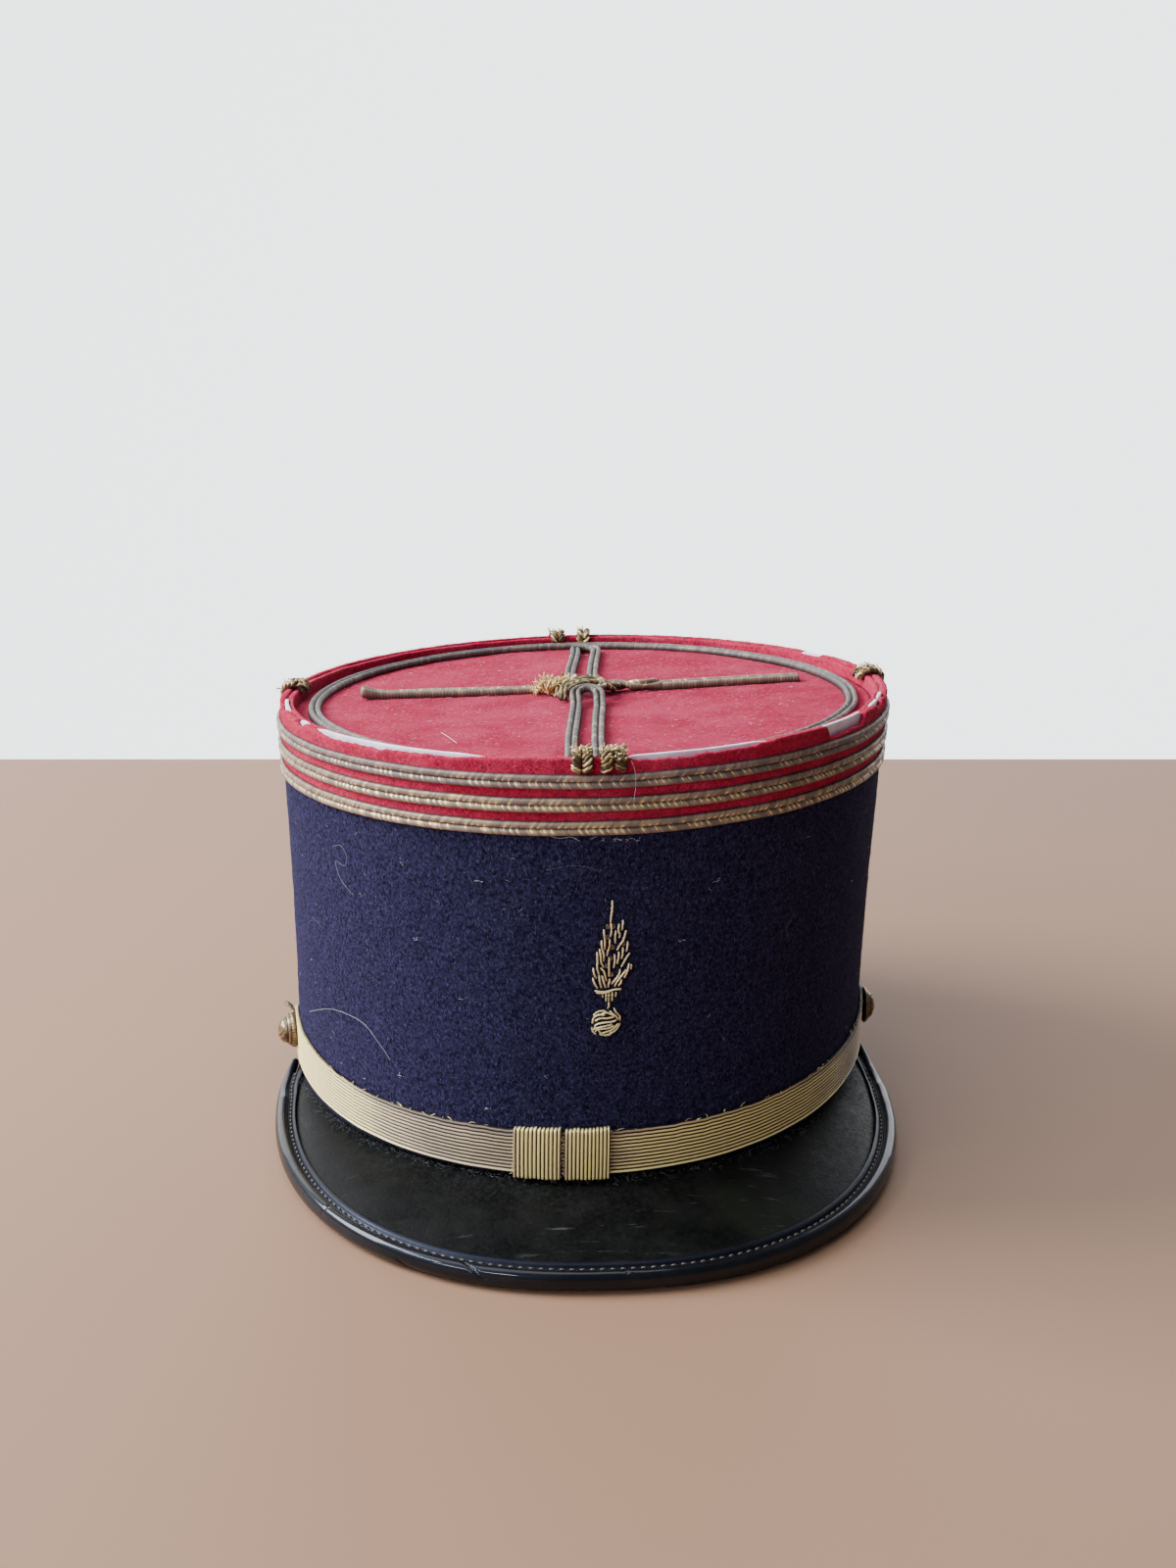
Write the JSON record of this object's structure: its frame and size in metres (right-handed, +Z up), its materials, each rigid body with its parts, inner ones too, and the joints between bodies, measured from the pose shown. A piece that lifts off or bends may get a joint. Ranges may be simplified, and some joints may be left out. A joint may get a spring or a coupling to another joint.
{
  "type": "kepi cap",
  "caption": "Stiff oval cap with a navy felt band, a sunken red felt top edged with gold braid, a gold chin strap on side buttons and a rolled-edge leather visor.",
  "frame": {"origin": "middle of the bottom of the bounding box, on the surface that the cap rests on", "axes": "+Z up, the visor at -Y and the back of the cap at +Y, +X to the right of someone facing the visor"},
  "size_m": [0.1706, 0.2264, 0.1217],
  "materials": {
    "navy_felt": "matt wool felt",
    "red_felt": "matt wool felt, worn at the rim",
    "white_plastic": "satin",
    "gold_braid": "tarnished metal thread",
    "bullion": "embroidered metal thread",
    "strap_braid": "ribbed metal thread",
    "aged_brass": "aged",
    "black_leather": "worn semi-matt",
    "black_patent": "gloss patent leather"
  },
  "bodies": {
    "root": {"navy_band": "navy_felt", "red_crown": "red_felt", "crown_top": "red_felt", "rim_stiffener": "white_plastic", "braid_stripe_upper": "gold_braid", "braid_stripe_middle": "gold_braid", "braid_stripe_lower": "gold_braid", "top_braid_ring": "gold_braid", "braid_arm_left": "gold_braid", "braid_arm_right": "gold_braid", "braid_loop_front": "gold_braid", "braid_loop_back": "gold_braid", "centre_knot": "gold_braid", "rim_wrap_front_left": "gold_braid", "rim_wrap_front_right": "gold_braid", "rim_wrap_back_left": "gold_braid", "rim_wrap_back_right": "gold_braid", "rim_wrap_left": "gold_braid", "rim_wrap_right": "gold_braid", "badge_flame": "bullion", "badge_ball": "bullion", "chin_strap": "strap_braid", "strap_slide_left": "strap_braid", "strap_slide_right": "strap_braid", "button_left": "aged_brass", "button_right": "aged_brass", "visor": "black_leather", "visor_bead": "black_patent", "visor_welt": "black_leather"}
  },
  "joints": []
}
